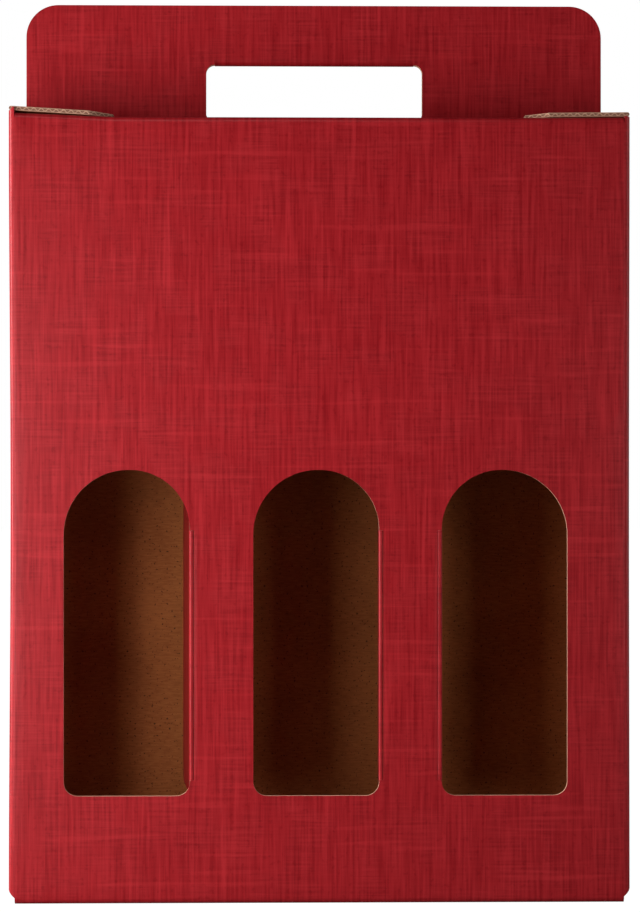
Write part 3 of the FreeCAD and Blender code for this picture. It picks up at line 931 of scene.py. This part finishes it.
class Finish:
    """One material, built from nodes."""

    def __init__(self, name):
        self.material = bpy.data.materials.new(name)
        self.material.use_nodes = True
        self.tree = self.material.node_tree
        self.tree.nodes.clear()

    def node(self, kind, settings=None, values=None):
        node = self.tree.nodes.new(kind)
        for key, value in (settings or {}).items():
            setattr(node, key, value)
        for key, value in (values or {}).items():
            if isinstance(value, Number):
                self.tree.links.new(value.socket, node.inputs[key])
            else:
                node.inputs[key].default_value = value
        return node

    def number(self, kind, settings=None, values=None, output=0):
        return Number(self, self.node(kind, settings, values).outputs[output])

    def sheet(self):
        """Place on the printed sheet, in metres."""
        return self.number("ShaderNodeUVMap", {"uv_map": "Sheet"})

    def noise(self, vector, across, up, detail=1.0, shift=0.0):
        """Noise with its own number of cells per metre each way."""
        values = {0: vector, 1: (across, up, 1.0), 2: (shift, shift * 1.7, 0.0)}
        scaled = self.number("ShaderNodeVectorMath", {"operation": "MULTIPLY_ADD"}, values)
        settings = {"noise_dimensions": "2D"}
        values = {"Vector": scaled, "Scale": 1.0, "Detail": detail}
        return self.number("ShaderNodeTexNoise", settings, values)

    def mix(self, share, low, high):
        """From one colour to another."""
        settings = {"data_type": "RGBA"}
        return self.number("ShaderNodeMix", settings, {0: share, 6: low, 7: high}, output=2)

    def surface(self, values):
        shader = self.node("ShaderNodeBsdfPrincipled", None, values)
        output = self.node("ShaderNodeOutputMaterial")
        self.tree.links.new(shader.outputs[0], output.inputs[0])
        return self.material

    def bump(self, height, distance, strength=1.0):
        values = {"Height": height, "Distance": distance, "Strength": strength}
        return self.number("ShaderNodeBump", None, values)


def tone(red, green, blue):
    """A colour as it shows on screen, 0 to 255, in the linear values that nodes take."""
    def linear(value):
        value /= 255
        return value / 12.92 if value <= 0.04045 else ((value + 0.055) / 1.055) ** 2.4
    return (linear(red), linear(green), linear(blue), 1.0)


PRINT_DARK, PRINT_LIGHT = tone(132, 11, 19), tone(180, 38, 44)
KRAFT_DARK, KRAFT_LIGHT = tone(158, 88, 44), tone(192, 114, 62)
FLECK = tone(96, 54, 28)
# The cut edge's paper and its fibre fuzz, with painted shade for the hollows of its flutes
EDGE_HOLLOW_SHADE, EDGE_LIGHT, EDGE_FUZZ = tone(128, 84, 66), tone(200, 154, 128), tone(226, 190, 164)


def linen_print():
    """Red print with the look of linen: fine upright threads crossed by level ones in patches,
    with long pale slubs both ways, under a satin varnish. Noises are given in cells per metre,
    first along the sheet and then up it."""
    finish = Finish("linen_print")
    sheet = finish.sheet()
    warp = finish.noise(sheet, 820, 32, 1.5)
    fine_warp = finish.noise(sheet, 1600, 70, 1.0, 3.1)
    weft = finish.noise(sheet, 38, 950, 1.5, 7.7)
    fine_weft = finish.noise(sheet, 80, 2000, 1.0, 5.3)
    patches = finish.noise(sheet, 70, 60, 2.0, 11.0).between(0.42, 0.6)
    tall_slubs = finish.noise(sheet, 260, 17, 1.0, 17.0).between(0.62, 0.78)
    wide_slubs = finish.noise(sheet, 15, 300, 1.0, 23.0).between(0.63, 0.78)
    specks = finish.noise(sheet, 420, 420, 1.0, 29.0).between(0.24, 0.36)
    threads = (warp - 0.5) * 0.85 + (fine_warp - 0.5) * 0.4
    crossed = (weft - 0.5) * 0.5 + (fine_weft - 0.5) * 0.25
    level = 0.5 + threads + crossed * (0.35 + patches * 0.75)
    level = level + tall_slubs * 0.2 + wide_slubs * 0.2 - (1 - specks) * 0.16
    colour = finish.mix(level.between(-0.1, 1.15), PRINT_DARK, PRINT_LIGHT)
    flutes = finish.noise(sheet, 20, 1 / FLUTE_PITCH * 2, 0.0, 2.0)
    relief = finish.bump(flutes * 0.6 + warp * 0.2, 0.05 * MM, 0.5)
    return finish.surface({
        "Base Color": colour,
        "Roughness": 0.33 + patches * 0.05,
        "Specular IOR Level": 0.17,
        "Normal": relief,
    })


def kraft_liner():
    """Brown kraft: short fibres across the sheet, soft clouds of tone and a few dark flecks."""
    finish = Finish("kraft_liner")
    sheet = finish.sheet()
    fibres = finish.noise(sheet, 240, 1300, 3.0)
    cloud = finish.noise(sheet, 30, 30, 2.0, 4.0)
    flecks = finish.noise(sheet, 900, 900, 1.0, 9.0).between(0.22, 0.32)
    level = 0.5 + (fibres - 0.5) * 0.8 + (cloud - 0.5) * 0.6
    colour = finish.mix(level.between(0.1, 0.9), KRAFT_DARK, KRAFT_LIGHT)
    colour = finish.mix(flecks, FLECK, colour)
    relief = finish.bump(fibres, 0.06 * MM, 0.6)
    return finish.surface({
        "Base Color": colour,
        "Roughness": 0.85,
        "Specular IOR Level": 0.2,
        "Normal": relief,
    })


def cut_board():
    """A cut edge: a liner along each face, and between them the fluted middle, whose line is the
    half thickness plus a sine of the developed length. The hollows between them are painted shade."""
    finish = Finish("cut_board")
    sheet = finish.sheet()
    parts = finish.node("ShaderNodeSeparateXYZ", None, {0: sheet})
    along, depth = Number(finish, parts.outputs[0]), Number(finish, parts.outputs[1])
    swing = BOARD / 2 - LINER
    wave = (along * (2 * math.pi / FLUTE_PITCH)).math("SINE") * swing
    off_line = abs(depth - BOARD / 2 - wave)
    paper = 1 - off_line.between(0.16 * MM, 0.42 * MM)
    off_middle = abs(depth - BOARD / 2)
    lined = off_middle.between(BOARD / 2 - LINER * 1.4, BOARD / 2 - LINER * 0.8)
    shown = paper.math("MAXIMUM", lined)
    fuzz = finish.noise(sheet, 2500, 2500, 2.0)
    # Paper where a liner or the flute shows, and painted shade in the hollows between
    colour = finish.mix(shown, EDGE_HOLLOW_SHADE, EDGE_LIGHT)
    colour = finish.mix((fuzz - 0.35) * 0.5, colour, EDGE_FUZZ)
    relief = finish.bump(shown + fuzz * 0.4, 0.25 * MM, 0.8)
    return finish.surface({
        "Base Color": colour,
        "Roughness": 0.9,
        "Specular IOR Level": 0.2,
        "Normal": relief,
    })


# The photograph: how far from the front panel it is taken from, how far left of the middle and
# how high, in millimetres, and what width of the front panel one of its pixels covers
CAMERA_DISTANCE = 1200.0
CAMERA_LEFT = 25.0
CAMERA_HEIGHT = 186.0
PHOTO_WIDTH = 640
MM_PER_PIXEL = 0.4155
SENSOR_WIDTH = 36.0


def make_camera():
    """Level, a little left of the box's middle, and turned towards it."""
    data = bpy.data.cameras.new("camera")
    data.sensor_fit = "HORIZONTAL"
    data.sensor_width = SENSOR_WIDTH
    data.lens = SENSOR_WIDTH * CAMERA_DISTANCE / (PHOTO_WIDTH * MM_PER_PIXEL)
    camera = bpy.data.objects.new("camera", data)
    back = -HALF_DEPTH - CAMERA_DISTANCE * MM
    camera.location = (-CAMERA_LEFT * MM, back, CAMERA_HEIGHT * MM)
    camera.rotation_euler = (math.pi / 2, 0, -math.atan2(CAMERA_LEFT, CAMERA_DISTANCE))
    bpy.context.scene.collection.objects.link(camera)
    bpy.context.scene.camera = camera


# Each lamp's name, its place and what it points at in millimetres, its width and height in
# metres and its power in watts
LAMPS = (
    ("key", (-310, -380, 150), (-70, -44, 155), (0.3, 0.34), 1.85),
    ("right", (373, -644, 170), (60, -44, 150), (0.1, 0.3), 0.55),
    ("top", (-120, -480, 800), (0, -20, 330), (0.3, 0.3), 0.8),
    ("left_edge", (-900, -110, 200), (-129, -60, 180), (0.16, 0.9), 15.0),
    ("right_edge", (900, -100, 200), (129, -30, 180), (0.5, 0.9), 3.2),
)


def add_lamp(name, place, aim, size, watts):
    """A rectangular lamp that is turned to what it points at, its long sides upright."""
    data = bpy.data.lights.new(name, "AREA")
    data.shape = "RECTANGLE"
    data.size, data.size_y = size
    data.energy = watts
    lamp = bpy.data.objects.new(name, data)
    lamp.location = [v * MM for v in place]
    way = np.array(aim, dtype=float) - np.array(place, dtype=float)
    level = math.hypot(way[0], way[1])
    lamp.rotation_euler = (math.atan2(level, -way[2]), 0, math.atan2(way[1], way[0]) - math.pi / 2)
    bpy.context.scene.collection.objects.link(lamp)


# The faint light that comes from all round
WORLD_COLOUR = (0.9, 0.95, 1.0, 1.0)
WORLD_STRENGTH = 0.012


def light_scene():
    """The lamps, and a world that is white to the camera and gives hardly any light."""
    for lamp in LAMPS:
        add_lamp(*lamp)
    world = bpy.data.worlds.new("studio")
    bpy.context.scene.world = world
    world.use_nodes = True
    nodes, links = world.node_tree.nodes, world.node_tree.links
    nodes.clear()
    path = nodes.new("ShaderNodeLightPath")
    seen = nodes.new("ShaderNodeMath")
    seen.operation = "MAXIMUM"
    links.new(path.outputs["Is Camera Ray"], seen.inputs[0])
    links.new(path.outputs["Is Transmission Ray"], seen.inputs[1])
    white = nodes.new("ShaderNodeBackground")
    soft = nodes.new("ShaderNodeBackground")
    soft.inputs["Color"].default_value = WORLD_COLOUR
    soft.inputs["Strength"].default_value = WORLD_STRENGTH
    white.inputs["Strength"].default_value = 1.0
    white.inputs["Color"].default_value = (1, 1, 1, 1)
    mix = nodes.new("ShaderNodeMixShader")
    out = nodes.new("ShaderNodeOutputWorld")
    links.new(seen.outputs[0], mix.inputs[0])
    links.new(soft.outputs[0], mix.inputs[1])
    links.new(white.outputs[0], mix.inputs[2])
    links.new(mix.outputs[0], out.inputs[0])


# The floor's half width in metres, its lit colour, the strength of the white that the camera sees on
# it, and the share of that in what the camera sees
FLOOR_HALF = 6.0
FLOOR_COLOUR = (0.25, 0.25, 0.25, 1)
FLOOR_GLOW = 1.19
FLOOR_GLOW_SHARE = 0.85


def make_floor():
    """A pale level floor. Seen by the camera it is mostly its own white, so that it meets the
    background. The lamps light the rest, but that white alone hides the box's shadow."""
    half = FLOOR_HALF
    corners = [(-half, -half, 0), (half, -half, 0), (half, half, 0), (-half, half, 0)]
    mesh = bpy.data.meshes.new("floor")
    mesh.from_pydata(corners, [], [(0, 1, 2, 3)])
    floor = bpy.data.objects.new("floor", mesh)
    bpy.context.scene.collection.objects.link(floor)
    finish = Finish("floor_white")
    path = finish.node("ShaderNodeLightPath")
    lit = finish.node("ShaderNodeBsdfDiffuse", None, {"Color": FLOOR_COLOUR})
    white = {"Color": (1, 1, 1, 1), "Strength": FLOOR_GLOW}
    glow = finish.node("ShaderNodeEmission", None, white)
    seen = Number(finish, path.outputs["Is Camera Ray"]) * FLOOR_GLOW_SHARE
    mix = finish.node("ShaderNodeMixShader", None, {0: seen})
    output = finish.node("ShaderNodeOutputMaterial")
    finish.tree.links.new(lit.outputs[0], mix.inputs[1])
    finish.tree.links.new(glow.outputs[0], mix.inputs[2])
    finish.tree.links.new(mix.outputs[0], output.inputs[0])
    mesh.materials.append(finish.material)


def dress(piece, node):
    """A piece rides its node and stands in for its solid, which is hidden."""
    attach(piece, node)
    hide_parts(node)


make_camera()
bpy.context.scene.view_settings.view_transform = "Standard"
MATERIALS = (linen_print(), kraft_liner(), cut_board())
dress(make_carton(MATERIALS), "carton")
for flap in DROOP:
    dress(make_top_flap(flap, MATERIALS), flap + "_top_flap")
for window in WINDOW_CENTRES:
    dress(make_window_flap(window, MATERIALS), window + "_window_flap")
light_scene()
make_floor()
